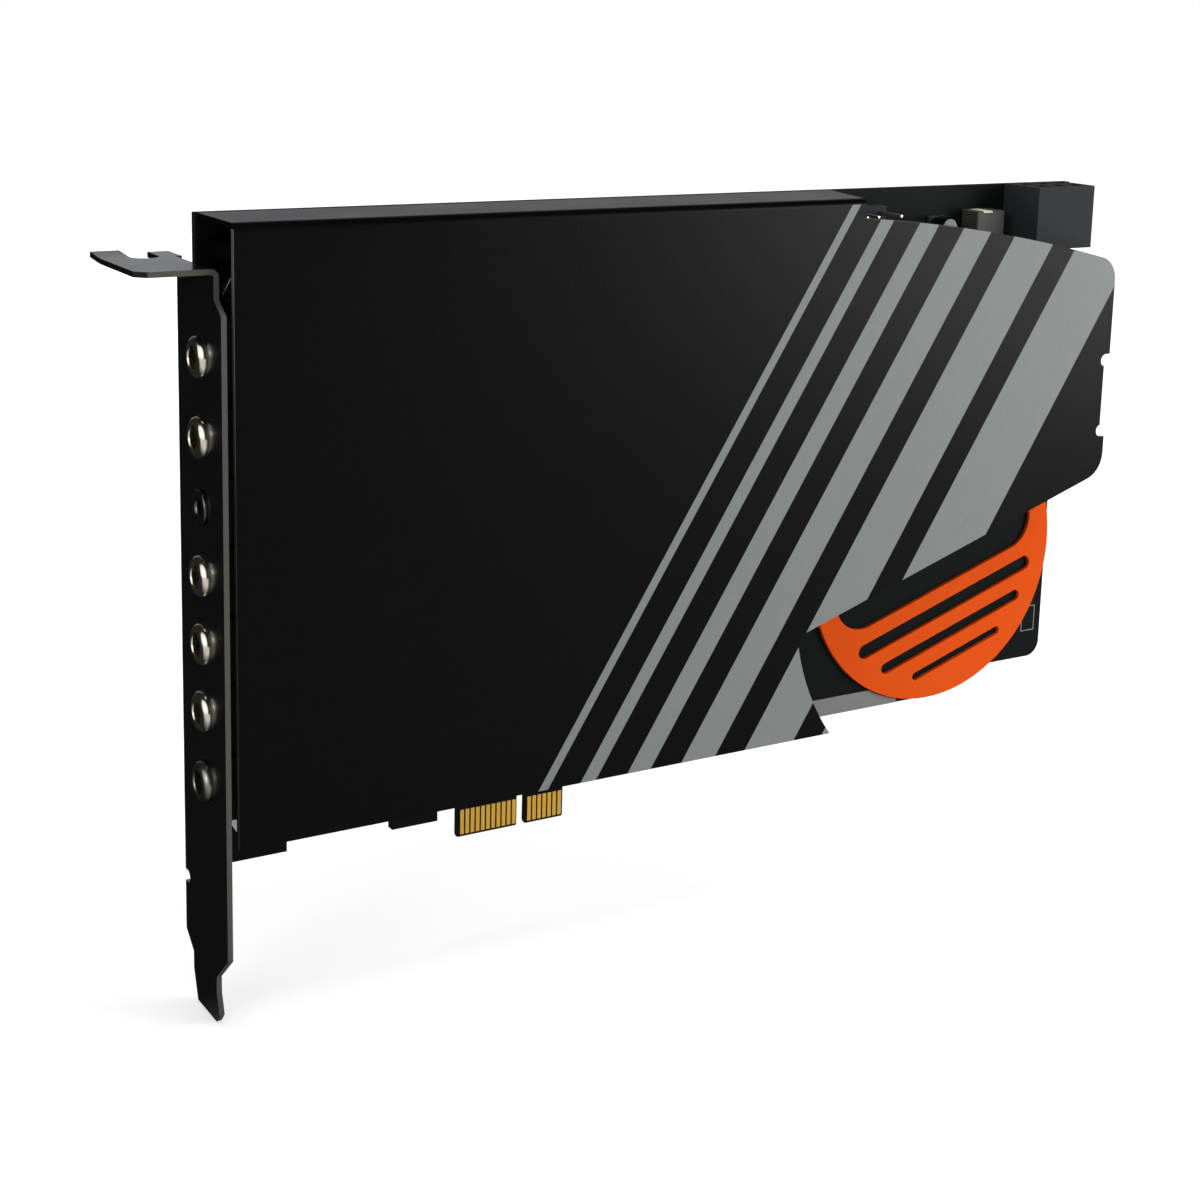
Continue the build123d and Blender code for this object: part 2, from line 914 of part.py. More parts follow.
def make_can(x, z):
    """A large capacitor: a can with a rounded top and a crimped groove near its foot."""
    groove = can_radius - can_groove_depth
    section = polygon(
        (0, 0),
        (can_radius, 0),
        (can_radius, can_groove_height - can_groove_depth),
        (groove, can_groove_height),
        (can_radius, can_groove_height + can_groove_depth),
        (can_radius, can_height - can_bevel),
        (can_radius - can_bevel, can_height),
        (0, can_height),
    )
    return Pos(x, face_front, z) * Rot(90, 0, 0) * revolve(Plane.XZ * section, Axis.Z)


def make_small_can(x, z):
    """The small silver can on its square foot."""
    half = small_can_base_size / 2
    foot = block(x - half, x + half, face_front - small_can_base, face_front, z - half, z + half)
    return foot + rod_y(x, z, small_can_radius, face_front - small_can_height, face_front - small_can_base)


def make_regulator(x, z):
    """A regulator with its cooling tab."""
    tab_length, tab_reach, tab_height = regulator_tab
    tab = on_board(x, z + regulator_body[1] / 2 + tab_reach / 2, regulator_tab)
    return on_board(x, z, regulator_body) + tab


def make_solder(x, z, radius):
    """The solder cone round one pin on the board's back."""
    hole = radius + pin_hole_play / 2
    cone = Cone(max(solder_radius, hole + 2 * solder_neck), hole + solder_neck, solder_height)
    cone -= Cylinder(hole, solder_height)
    return Pos(x, face_back + solder_height / 2, z) * Rot(-90, 0, 0) * cone


os.makedirs("parts", exist_ok=True)

save("bracket", make_bracket())
ear_grip = bracket_sheet + board_thickness + nut_height
save("bracket_screws", *[make_screw(x, z, face_back + bracket_sheet, ear_grip) for x, z in ear_screws()])
save("bracket_nuts", *[make_nut(x, z) for x, z in ear_screws()])

save("circuit_board", make_board())
save("edge_contacts_front", *make_contacts(face_front, -1))
save("edge_contacts_back", *make_contacts(face_back, 1))
save("ground_strip", make_ground_strip())
save("round_plate", make_round_plate())

save("cover", make_cover())
save("cover_posts", *[make_post(x, z) for x, z in posts()])
save("cover_screws", *[make_screw(x, z, face_back, board_thickness + screw_bite) for x, z in posts()])

for jack_number, jack_height in enumerate(jack_heights(), 1):
    save(f"jack_body_{jack_number}", make_jack_body(jack_number, jack_height))
    save(f"jack_bushing_{jack_number}", make_bushing(jack_number, jack_height))
save("jack_terminals", *make_terminals())

save("power_socket_housing", make_power_housing())
save("power_socket_pins", *make_power_pins())
save("front_panel_header", make_header_base())
save("front_panel_pins", *make_header_pins())

all_leads = []
for chip_name, chip_x, chip_z, chip_body in chip_sites():
    save(chip_name, make_chip(chip_x, chip_z, chip_body))
    all_leads += make_chip_leads(chip_x, chip_z, chip_body)
save("chip_leads", *all_leads)
processor_body = (processor_size, processor_size, processor_thickness)
save("audio_processor", on_board(processor_from_key, processor_height, processor_body))

for can_number, (can_place_x, can_place_z) in enumerate(can_places(), 1):
    save(f"capacitor_{can_number}", make_can(can_place_x, can_place_z))
lead_ends = (face_front, face_back + pin_tail)
save("capacitor_leads", *[rod_y(x, z, can_lead_radius, *lead_ends) for x, z in can_leads()])
for film_number in range(film_count):
    film_x = can_x + film_number * film_pitch
    save(f"film_capacitor_{film_number + 1}", on_board(film_x, can_row_height - film_below_cans, film_body))
relay_z = min(z for name, x, z, body in chip_sites()) - relay_below_chips
for relay_number in range(relay_count):
    relay_x = -relay_from_key + relay_number * relay_pitch
    save(f"relay_{relay_number + 1}", on_board(relay_x, relay_z, relay_body))
for regulator_number in range(regulator_count):
    regulator_x = flange_end + regulator_from_flange + regulator_number * regulator_pitch
    save(f"regulator_{regulator_number + 1}", make_regulator(regulator_x, board_top - regulator_below_top))

choke_x = power_corner()[0] - choke_from_power - choke_body[0] / 2
choke_z = board_top - choke_below_top - choke_body[1] / 2
save("power_choke", on_board(choke_x, choke_z, choke_body))
save("small_can", make_small_can(choke_x - small_can_from_choke, board_top - small_can_below_top))

resistor_x = processor_from_key + resistor_from_processor
resistors = []
for row in range(resistor_rows):
    for column in range(resistor_columns):
        x = resistor_x + column * resistor_pitch_x
        z = processor_height + (row - (resistor_rows - 1) / 2) * resistor_pitch_z
        resistors.append(on_board(x, z, resistor_body))
save("chip_resistors", *resistors)

save("solder_joints", *[make_solder(x, z, radius) for x, z, radius in through_holes()])
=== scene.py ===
# %% [markdown]
# # A sound card in a black cover
# The card is a board with parts on it, a folded cover over them and a slot bracket at one end.
# Its solids are already right in size and place, so they are loaded as a fixed frame.
# This lesson dresses them: it rounds their edges, turns a few parts afresh and gives each surface a finish.

import functools
import json
import math
import operator

import bmesh
import bpy
from mathutils import Matrix, Vector


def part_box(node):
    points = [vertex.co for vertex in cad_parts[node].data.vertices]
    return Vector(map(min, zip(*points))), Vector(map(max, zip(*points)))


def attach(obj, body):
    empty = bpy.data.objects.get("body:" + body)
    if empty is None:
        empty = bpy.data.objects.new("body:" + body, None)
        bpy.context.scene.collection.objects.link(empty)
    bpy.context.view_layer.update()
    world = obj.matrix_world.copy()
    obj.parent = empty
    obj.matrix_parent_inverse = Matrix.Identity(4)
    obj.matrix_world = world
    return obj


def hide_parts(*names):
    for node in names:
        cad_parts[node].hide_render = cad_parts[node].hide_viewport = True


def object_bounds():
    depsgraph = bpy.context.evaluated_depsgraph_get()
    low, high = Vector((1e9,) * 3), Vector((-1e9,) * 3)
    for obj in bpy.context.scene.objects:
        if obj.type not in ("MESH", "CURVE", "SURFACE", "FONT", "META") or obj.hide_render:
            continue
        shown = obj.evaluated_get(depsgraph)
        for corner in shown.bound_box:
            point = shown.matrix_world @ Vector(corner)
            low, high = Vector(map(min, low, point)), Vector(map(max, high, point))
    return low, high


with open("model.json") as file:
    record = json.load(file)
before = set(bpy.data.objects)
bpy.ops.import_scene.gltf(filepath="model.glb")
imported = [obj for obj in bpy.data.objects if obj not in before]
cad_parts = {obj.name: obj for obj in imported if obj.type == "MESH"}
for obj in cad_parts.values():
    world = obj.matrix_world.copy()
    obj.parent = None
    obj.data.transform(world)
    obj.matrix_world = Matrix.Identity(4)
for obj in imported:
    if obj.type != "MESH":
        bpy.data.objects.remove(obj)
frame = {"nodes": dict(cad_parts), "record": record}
nodes = frame["nodes"]
cad_low, cad_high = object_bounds()
MM = 0.001
print("loaded", len(nodes), "solids, overall", [round(side / MM, 1) for side in cad_high - cad_low], "mm")

# %% [markdown]
# ## Camera
# The photograph is taken from the bracket's side, a little above the card, with a longish lens.
# Its upright edges stay nearly parallel, which a tilted camera alone can't give.
# A lens that is shifted downwards does it: the camera tilts less and the frame moves instead.

# %% Camera
camera_place = Vector((-165.4, -297.5, 143.0)) * MM
camera_yaw = math.radians(-31.13)
camera_tilt = math.radians(11.27)
camera_roll = math.radians(1.44)

camera_data = bpy.data.cameras.new("portrait_camera")
camera_data.lens = 62.57
camera_data.shift_y = -0.167
camera_data.clip_start = 0.01
camera = bpy.data.objects.new("portrait_camera", camera_data)
camera.matrix_world = (
    Matrix.Translation(camera_place)
    @ Matrix.Rotation(camera_yaw, 4, "Z")
    @ Matrix.Rotation(math.pi / 2 - camera_tilt, 4, "X")
    @ Matrix.Rotation(camera_roll, 4, "Z")
)
bpy.context.scene.collection.objects.link(camera)
bpy.context.scene.camera = camera
bpy.context.scene.view_settings.view_transform = "Standard"
print("camera stands", round((camera_place - (cad_low + cad_high) / 2).length, 3), "m from the card's middle")

# %% [markdown]
# ## Shader maths
# A finish is a tree of nodes. Wiring each Math node by hand hides what is being worked out.
# Here one small class wraps a socket, so that a mask is written as an ordinary sum.
# Between two masks, | keeps the larger value, so either counts, and & keeps the smaller, so both must.
# A second class is a material with one method that makes any node: its settings first, then its sockets.


# %% Node maths
class Value:
    """A socket of a node tree. Operators on it add Math nodes."""

    def __init__(self, finish, socket):
        self.finish = finish
        self.socket = socket

    def math(self, operation, *others):
        return self.finish.node("ShaderNodeMath", {"operation": operation}, [self, *others])

    def __add__(self, other):
        return self.math("ADD", other)

    def __sub__(self, other):
        return self.math("SUBTRACT", other)

    def __rsub__(self, other):
        return self.finish.node("ShaderNodeMath", {"operation": "SUBTRACT"}, [other, self])

    def __mul__(self, other):
        return self.math("MULTIPLY", other)

    def __truediv__(self, other):
        return self.math("DIVIDE", other)

    def __mod__(self, other):
        return self.math("FLOORED_MODULO", other)

    def __gt__(self, other):
        return self.math("GREATER_THAN", other)

    def __lt__(self, other):
        return self.math("LESS_THAN", other)

    def __and__(self, other):
        return self.math("MINIMUM", other)

    def __or__(self, other):
        return self.math("MAXIMUM", other)

    def __abs__(self):
        return self.math("ABSOLUTE")

    def limit(self, low, high):
        """The value held between two limits."""
        return self.math("MAXIMUM", low).math("MINIMUM", high)

    __radd__ = __add__
    __rmul__ = __mul__


print("node maths ready")


# %% Finishes
class Finish:
    """A material, or the world, whose nodes are made by one method."""

    def __init__(self, name, tree=None):
        if tree is None:
            self.material = bpy.data.materials.new(name)
            self.material.use_nodes = True
            tree = self.material.node_tree
        self.tree = tree
        self.tree.nodes.clear()

    def node(self, kind, settings=None, sockets=None, output=0):
        """Make a node, set it up, fill or link its sockets, and return one of its outputs."""
        made = self.tree.nodes.new(kind)
        for name, value in (settings or {}).items():
            setattr(made, name, value)
        pairs = sockets.items() if isinstance(sockets, dict) else enumerate(sockets or [])
        for key, value in pairs:
            socket = made.inputs[key]
            if isinstance(value, Value):
                self.tree.links.new(value.socket, socket)
            elif isinstance(value, tuple) and socket.type == "RGBA":
                socket.default_value = (*value, 1.0)
            else:
                socket.default_value = value
        return Value(self, made.outputs[output]) if made.outputs else None

    def place(self):
        """The object's own coordinates as a vector, in metres."""
        return self.node("ShaderNodeTexCoord", output="Object")

    def split(self, vector):
        """The X, Y and Z of a vector."""
        parts = self.node("ShaderNodeSeparateXYZ", sockets=[vector]).socket.node.outputs
        return [Value(self, part) for part in parts]

    def millimetres(self, vector):
        """The X, Y and Z of a vector that is in metres, in millimetres."""
        return [part * (1 / MM) for part in self.split(vector)]

    def rays(self):
        """Whether a ray comes from the camera, and whether from a mirror or through glass."""
        kinds = self.node("ShaderNodeLightPath").socket.node.outputs
        mirror = Value(self, kinds["Is Glossy Ray"]) | Value(self, kinds["Is Transmission Ray"])
        return Value(self, kinds["Is Camera Ray"]), mirror

    def noise(self, vector, scale, detail=2.0):
        """Cloudy noise from 0 to 1, with so many clouds to the metre."""
        return self.node("ShaderNodeTexNoise", {}, {"Vector": vector, "Scale": scale, "Detail": detail})

    def mix(self, mask, first, second):
        """The first colour where the mask is 0 and the second where it is 1."""
        return self.node("ShaderNodeMix", {"data_type": "RGBA"}, {0: mask, 6: first, 7: second}, 2)

    def bump(self, height, depth):
        """A relief of so many millimetres."""
        return self.node("ShaderNodeBump", {}, {"Height": height, "Distance": depth * MM})

    def surface(self, **sockets):
        """The finished surface, with socket names written in lower case."""
        named = {}
        for key, value in sockets.items():
            named[key.replace("_", " ").title().replace("Ior", "IOR")] = value
        shader = self.node("ShaderNodeBsdfPrincipled", {}, named)
        self.node("ShaderNodeOutputMaterial", {}, {"Surface": shader})
        return self.material


print("finishes ready")


# %% Masks
def ramp(value, start, end):
    """0 before the start, 1 past the end and even in between."""
    return ((value - start) / (end - start)).limit(0.0, 1.0)


def largest(values):
    """The largest of some values. For masks that is where any of them is set."""
    return functools.reduce(operator.or_, values)


def smallest(values):
    """The smallest of some values. For distances that is how far the nearest lies."""
    return functools.reduce(operator.and_, values)


print("masks ready")

# %% [markdown]
# ## Studio
# The card is shown on plain white, lit softly from the right and from above.
# A white floor and a white world give that, but only as what the camera sees.
# For the light that falls on the card the world is dimmer, and soft boxes do the shaping.
# In reflections the room is dark in front and grey at the back, which keeps the black paint deep.
# The floor glows in them only in front of the card.
# A round window far to the left is seen in mirrors alone. It puts one broad highlight on each turned socket.

# %% World
ambient = 0.30
dark_side = 0.02
back_glow = 0.55
back_gain = 1.2
# The grey of the back grows between these ways, where 1 is straight to the back or to the right.
back_start, back_end = 2 / 9, 4 / 3
right_start, right_end = -0.14, 0.26
window_way = Vector((-0.86, -0.45, 0.25)).normalized()
window_reach = math.cos(math.radians(46))
window_fade = 1 / 12
window_glow = 1.2
cool_white = (0.93, 0.95, 1.0)

world = bpy.data.worlds.new("studio_world")
world.use_nodes = True
bpy.context.scene.world = world
room = Finish("studio_world", world.node_tree)
direction = room.node("ShaderNodeTexCoord", output="Generated")
toward_right, toward_back, toward_top = room.split(direction)
camera_ray, mirror_ray = room.rays()
backdrop = ramp(toward_back, back_start, back_end) * ramp(toward_right, right_start, right_end)
backdrop = (backdrop * back_gain).limit(dark_side, back_glow)
facing = toward_right * window_way.x + toward_back * window_way.y + toward_top * window_way.z
window = ramp(facing, window_reach, window_reach + window_fade) * window_glow
seen = camera_ray | (mirror_ray * (backdrop | window))
other = (1 - (camera_ray | mirror_ray)) * ambient
tint = room.mix(mirror_ray, (1.0, 1.0, 1.0), cool_white)
background = room.node("ShaderNodeBackground", {}, {"Color": tint, "Strength": seen + other})
room.node("ShaderNodeOutputWorld", {}, {"Surface": background})
print("world set: ambient", ambient)

# %% Floor
floor_span = 6.0
near_glow, near_reach = 0.50, 135
far_glow, far_reach = 0.95, 1035
front_glow, front_reach = 0.65, 80
floor_paint = Finish("white_floor")
shade = floor_paint.node("ShaderNodeBsdfDiffuse", {}, {"Color": (0.62, 0.62, 0.62)})
floor_x, floor_y = floor_paint.millimetres(floor_paint.place())[:2]
from_card = (floor_x * floor_x + floor_y * floor_y).math("SQRT")
glow = ramp(from_card, near_reach, far_reach) * (far_glow - near_glow) + near_glow
shine = floor_paint.node("ShaderNodeEmission", {}, {"Strength": glow})
lifted = floor_paint.node("ShaderNodeAddShader", {}, [shade, shine])
in_front = ramp(floor_y, 0.0, -front_reach) * front_glow + dark_side
mirrored = floor_paint.node("ShaderNodeEmission", {}, {"Strength": in_front})
floor_camera, floor_mirror = floor_paint.rays()
for_camera = floor_paint.node("ShaderNodeMixShader", {}, [floor_camera, shade, lifted])
floor_look = floor_paint.node("ShaderNodeMixShader", {}, [floor_mirror, for_camera, mirrored])
floor_paint.node("ShaderNodeOutputMaterial", {}, {"Surface": floor_look})

floor_mesh = bmesh.new()
bmesh.ops.create_grid(floor_mesh, x_segments=1, y_segments=1, size=floor_span / 2)
bmesh.ops.translate(floor_mesh, verts=floor_mesh.verts, vec=(0, 0, cad_low.z))
floor_data = bpy.data.meshes.new("studio_floor")
floor_mesh.to_mesh(floor_data)
floor_mesh.free()
floor = bpy.data.objects.new("studio_floor", floor_data)
floor_data.materials.append(floor_paint.material)
bpy.context.scene.collection.objects.link(floor)
print("floor at", round(cad_low.z / MM, 1), "mm")

# %% Soft boxes
card_middle = (cad_low + cad_high) / 2
bracket_middle = Vector((cad_low.x, card_middle.y, card_middle.z))
far_end = Vector((cad_high.x, cad_low.y, card_middle.z))


def soft_box(name, place, aim, size, power, mirrored=True):
    """A square area lamp turned towards a point, in metres and watts. It can be kept out of mirrors."""
    lamp = bpy.data.lights.new(name, "AREA")
    lamp.shape = "SQUARE"
    lamp.size = size
    lamp.energy = power
    box = bpy.data.objects.new(name, lamp)
    box.location = place
    box.rotation_euler = (aim - Vector(place)).to_track_quat("-Z", "Y").to_euler()
    box.visible_glossy = mirrored
    bpy.context.scene.collection.objects.link(box)


soft_box("key_box", (0.46, -0.36, 0.16), far_end, size=0.34, power=2.8)
soft_box("top_box", (0.05, -0.15, 0.80), card_middle, size=0.55, power=3.2, mirrored=False)
soft_box("bracket_box", (-0.62, -0.34, 0.30), bracket_middle, size=0.22, power=0.8)
soft_box("back_box", (-0.10, 0.75, 0.45), card_middle, size=0.6, power=3.2, mirrored=False)
print("four soft boxes")

# %% [markdown]
# ## Places on the card
# Some nodes are groups of like solids, such as the screws. Marks on the board belong round each of them.
# Their places could be typed in again, but then they'd drift when the card changes.
# So each group is walked from corner to corner along its edges, and every separate solid gives its own box.

# %% Places on the card
weld_reach = 0.0005 * MM


def welded(name):
    """A copy of a node's mesh whose triangles share their corners."""
    shape = bmesh.new()
    shape.from_mesh(nodes[name].data)
    bmesh.ops.remove_doubles(shape, verts=shape.verts, dist=weld_reach)
    return shape


def solid_boxes(name):
    """The low and high corners of each separate solid in a node, in millimetres."""
    shape = welded(name)
    waiting = set(shape.verts)
    boxes = []
    while waiting:
        grown = [waiting.pop()]
        for vert in grown:
            joined = {edge.other_vert(vert) for edge in vert.link_edges} & waiting
            waiting -= joined
            grown.extend(joined)
        corners = list(zip(*[vert.co / MM for vert in grown]))
        boxes.append((Vector(map(min, corners)), Vector(map(max, corners))))
    shape.free()
    return boxes


def middles(name):
    """The middle of each separate solid in a node, across and up, in millimetres."""
    return [((low.x + high.x) / 2, (low.z + high.z) / 2) for low, high in solid_boxes(name)]


board_screws = middles("cover_screws") + middles("bracket_screws")
print("screws at", [tuple(round(side, 1) for side in place) for place in board_screws])

# %% [markdown]
# ## Black powder coat
# The bracket is steel strip with a satin black coat. Powder melts into a skin with a fine orange peel.
# Two sizes of noise make it: one for the peel's relief, one for slow changes of gloss.
# Where a sheet was sheared the coat is thin, so those narrow faces get greyer finishes of their own. On the
# cover's cut rim that grey is lightened further as a painted highlight.


# %% Black powder coat
def powder_skin(finish, vector, rough, depth):
    """The roughness and the relief of a powder coat."""
    peel = finish.noise(vector, scale=2600)
    cloud = finish.noise(vector, scale=90, detail=3.0)
    return cloud * 0.10 + rough, finish.bump(peel, depth)


def black_coat(name, dark, light, rough, depth, polish):
    """A black coat between two tints: its roughness, the depth of its peel and how strongly it mirrors."""
    finish = Finish(name)
    vector = finish.place()
    gloss, relief = powder_skin(finish, vector, rough, depth)
    colour = finish.mix(finish.noise(vector, scale=300, detail=3.0), dark, light)
    return finish.surface(base_color=colour, roughness=gloss, normal=relief, specular_ior_level=polish)


bracket_black = black_coat("bracket_black", (0.003, 0.003, 0.003), (0.005, 0.005, 0.005), 0.13, 0.004, 0.25)
sheared_edge = black_coat("sheared_edge", (0.056, 0.056, 0.050), (0.080, 0.079, 0.070), 0.30, 0.014, 0.4)
# The cover's cut rim: a thin coat, painted much paler as a painted highlight.
sheared_rim = black_coat("sheared_rim", (0.16, 0.16, 0.15), (0.20, 0.20, 0.19), 0.30, 0.014, 0.4)
print("made", bracket_black.name, sheared_edge.name, sheared_rim.name)

# %% [markdown]
# ## Printed cover
# The cover has the same black coat, with light grey bands printed over it.
# The print could be cut out as thin sheets, but it is only ink, so it is a mask in the finish.
# The mask is a row of slanted straight bands that get narrower from right to left.
# A second mask is the cut rim at the left end, painted paler as a highlight that grows towards the top.

# %% Printed cover
band_slant = math.radians(58)
band_first = 92.0
band_first_height = 50.0
band_gap = 5.2
band_widths = (13.0, 9.0, 6.0, 4.0, 2.6, 1.6)
ink_edge = 0.08
cover_low, cover_high = (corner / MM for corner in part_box("cover"))
skin_depth = 0.05
rim_width = 0.9
rim_depth = 0.1
# Heights in mm over which the rim's painted highlight rises, and the least share of it.
highlight_start, highlight_end, highlight_least = 55.0, 100.0, 0.25


def printed_cover():
    finish = Finish("printed_cover")
    vector = finish.place()
    x, y, z = finish.millimetres(vector)
    gloss, relief = powder_skin(finish, vector, rough=0.27, depth=0.014)
    across = x * math.sin(band_slant) - z * math.cos(band_slant)
    right = band_first * math.sin(band_slant) - band_first_height * math.cos(band_slant)
    bands = []
    for width in band_widths:
        middle = right - width / 2
        bands.append(ramp(width / 2 - abs(across - middle), 0.0, ink_edge))
        right = right - width - band_gap
    ink = largest(bands) & (y < cover_low.y + skin_depth)
    rim = (x < cover_low.x + rim_depth) & (y < cover_low.y + rim_width) & (z < cover_high.z - rim_width)
    mottle = finish.noise(vector, scale=700, detail=4.0)
    black = finish.mix(mottle, (0.0012, 0.0012, 0.0012), (0.0024, 0.0024, 0.0024))
    rim_highlight = ramp(z, highlight_start, highlight_end) | highlight_least
    # The cut rim is painted paler, most towards the top: a painted highlight.
    black = finish.mix(rim * rim_highlight, black, (0.10, 0.10, 0.097))
    grey = finish.mix(mottle, (0.185, 0.200, 0.196), (0.205, 0.222, 0.217))
    return finish.surface(
        base_color=finish.mix(ink, black, grey),
        roughness=gloss + ink * 0.10,
        normal=relief,
        specular_ior_level=0.07,
    )


cover_print = printed_cover()
print("made", cover_print.name, "with", len(band_widths), "bands")

# %% [markdown]
# ## Circuit board
# The board is glass fibre under a black solder mask. Copper tracks show through as faint raised lines.
# Tracks run in bundles, straight with one slanting jog, so a bundle is a folded coordinate cut into lines.
# Plated holes are dots of a cell pattern. On the back each screw has a bare tinned ring round its hole.
# The sawn edge shows the layers of the core.

# %% Marks on the board
board_low, board_high = (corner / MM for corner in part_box("circuit_board"))
board_half = board_high.y
ring_inner = 2.0
ring_outer = 3.5
corner_pad = (board_low.x + 12.3, board_low.z + 7.6)
corner_pad_radius = 0.55
outline_middle = (board_high.x - 3.2, board_low.z + 21.5)
outline_size = (3.2, 5.0)
outline_line = 0.16
track_half_share = 0.26
hole_cells = 210.0
hole_scatter = 0.8
pad_reach = 0.09
drill_reach = 0.045
busy_limit = 0.5
layer_pitch = 0.25
track_bundles = (
    (-38, 40, 47, -8, 9, 12, 0.9),
    (-30, 60, 66, 12, -8, 9, 1.1),
    (5, 96, 84, 52, 7, 14, 0.8),
    (-44, 30, 96, -20, -5, 6, 1.3),
    (22, 100, 30, 60, 10, 10, 0.9),
    (-40, 4, 20, -24, 6, 9, 1.0),
)
drop_bundles = (
    (12, 40, -10, 26, 5, 10, 0.8),
    (44, 92, 36, 70, -6, 9, 1.0),
    (52, 104, 96, 80, -5, 7, 1.1),
)


def track_mask(along, across, bundle):
    """Parallel tracks with one slanting jog: start, end, first line, jog's place and size, count, pitch."""
    start, end, first, jog_at, jog, count, pitch = bundle
    shift = (along - jog_at).limit(0, abs(jog)) * math.copysign(1, jog)
    offset = across - first - shift
    lines = abs(offset % pitch - pitch / 2) < pitch * track_half_share
    inside = (offset > 0) & (offset < count * pitch)
    return lines & inside & (along > start) & (along < end)


def distance(x, z, place):
    """How far each point lies from a place on the board."""
    from_x = x - place[0]
    from_z = z - place[1]
    return (from_x * from_x + from_z * from_z).math("SQRT")


def frame_mask(x, z, centre, size, line):
    """A thin rectangle, as printed round a part."""
    from_x = abs(x - centre[0]) - size[0] / 2
    from_z = abs(z - centre[1]) - size[1] / 2
    return abs(from_x | from_z) < line / 2


print("tracks in", len(track_bundles) + len(drop_bundles), "bundles")


# %% Circuit board
def black_board():
    finish = Finish("black_board")
    vector = finish.place()
    x, y, z = finish.millimetres(vector)
    level = [track_mask(x, z, bundle) for bundle in track_bundles]
    upright = [track_mask(z, x, bundle) for bundle in drop_bundles]
    tracks = largest(level + upright)
    cell_sockets = {"Vector": vector, "Scale": hole_cells, "Randomness": hole_scatter}
    cells = finish.node("ShaderNodeTexVoronoi", {}, cell_sockets)
    busy = finish.noise(vector, scale=45, detail=1.0) > busy_limit
    pad = (cells < pad_reach) & busy
    drill = (cells < drill_reach) & busy
    nearest = smallest([distance(x, z, screw) for screw in board_screws])
    bare = (nearest > ring_inner) & (nearest < ring_outer) & (y > 0)
    copper = (distance(x, z, corner_pad) < corner_pad_radius) & (y < 0)
    outline = frame_mask(x, z, outline_middle, outline_size, outline_line) & (y < 0)
    core = abs(y) < board_half - skin_depth
    mottle = finish.noise(vector, scale=1500, detail=3.0)
    colour = finish.mix(mottle, (0.006, 0.007, 0.007), (0.010, 0.011, 0.011))
    colour = finish.mix(tracks, colour, (0.016, 0.019, 0.017))
    colour = finish.mix(pad, colour, (0.14, 0.11, 0.06))
    colour = finish.mix(drill, colour, (0.005, 0.005, 0.005))
    colour = finish.mix(bare, colour, (0.50, 0.50, 0.48))
    colour = finish.mix(copper, colour, (0.30, 0.10, 0.06))
    colour = finish.mix(outline, colour, (0.24, 0.25, 0.25))
    layers = abs((y / layer_pitch) % 1.0 - 0.5) * 2.0
    colour = finish.mix(core, colour, finish.mix(layers, (0.012, 0.010, 0.007), (0.026, 0.021, 0.013)))
    relief = tracks * 0.6 + pad * 0.8 - drill + mottle * 0.05
    return finish.surface(
        base_color=colour,
        metallic=bare & (1 - core),
        roughness=mottle * 0.08 + core * 0.35 + 0.36,
        normal=finish.bump(relief, depth=0.04),
        specular_ior_level=0.02,
    )


board_black = black_board()
print("made", board_black.name)

# %% [markdown]
# ## Metals
# Gold plate, tin, zinc-plated steel, nickel and aluminium are full metals.
# What tells them apart is tint and polish.
# Each has faint scuffs. Noise that is stretched along one axis reads as the marks of plugging in or turning.

# %% Metals
plug_way = (1.0, 1.0, 0.12)
lathe_way = (0.1, 1.0, 1.0)


def metal(name, dark, light, polish, scuff, stretch=(1.0, 1.0, 1.0), dent=0.01):
    """A plated metal: two tints, its roughness, how much scuffs change that, and which way they run."""
    finish = Finish(name)
    vector = finish.place()
    drawn = finish.node("ShaderNodeMapping", {}, {"Vector": vector, "Scale": stretch})
    marks = finish.noise(drawn, scale=1400, detail=4.0)
    colour = finish.mix(finish.noise(vector, scale=400), dark, light)
    return finish.surface(
        base_color=colour,
        metallic=1.0,
        roughness=marks * scuff + polish,
        normal=finish.bump(marks, dent),
    )


gold_plate = metal("gold_plate", (1.00, 0.55, 0.08), (1.00, 0.62, 0.11), 0.40, 0.16, plug_way, 0.006)
tin_plate = metal("tin_plate", (0.52, 0.52, 0.50), (0.66, 0.66, 0.63), 0.26, 0.25, dent=0.02)
dull_tin = metal("dull_tin", (0.21, 0.21, 0.20), (0.25, 0.25, 0.24), 0.50, 0.15)
pin_plate = metal("pin_plate", (0.48, 0.43, 0.33), (0.58, 0.53, 0.42), 0.32, 0.15)
zinc_steel = metal("zinc_steel", (0.50, 0.50, 0.51), (0.62, 0.62, 0.62), 0.24, 0.20)
dull_nickel = metal("dull_nickel", (0.26, 0.26, 0.22), (0.34, 0.34, 0.29), 0.24, 0.12, lathe_way, 0.003)
bright_nickel = metal("bright_nickel", (0.78, 0.72, 0.58), (0.86, 0.80, 0.66), 0.12, 0.10, lathe_way, 0.003)
dark_nickel = metal("dark_nickel", (0.10, 0.10, 0.102), (0.15, 0.15, 0.15), 0.20, 0.12, lathe_way, 0.003)
# The can's aluminium is far darker than bare metal: painted shade, which keeps the lamp it mirrors dim.
can_aluminium = metal("can_aluminium", (0.05, 0.055, 0.06), (0.08, 0.085, 0.09), 0.32, 0.15)
print("nine metals")

# %% [markdown]
# ## Plastics and paint
# Moulded plastic and chip packages are matt, with a fine grain from the mould.
# The orange plate is lacquered, so its grain is shallow and its colour deep.
# The posts are blackened steel. It is as dull as plastic, so it is made the same way. Their near-black colour
# is partly painted shade, for the dark inside of the cover's open end.


# %% Plastics and paint
def moulded(name, dark, light, rough, grain, depth, polish=0.3):
    """A moulded or painted surface: two tints, its roughness, grains to the metre, and their depth in mm."""
    finish = Finish(name)
    vector = finish.place()
    speck = finish.noise(vector, scale=grain, detail=3.0)
    cloud = finish.noise(vector, scale=120)
    return finish.surface(
        base_color=finish.mix(cloud, dark, light),
        roughness=speck * 0.12 + rough,
        normal=finish.bump(speck, depth),
        specular_ior_level=polish,
    )


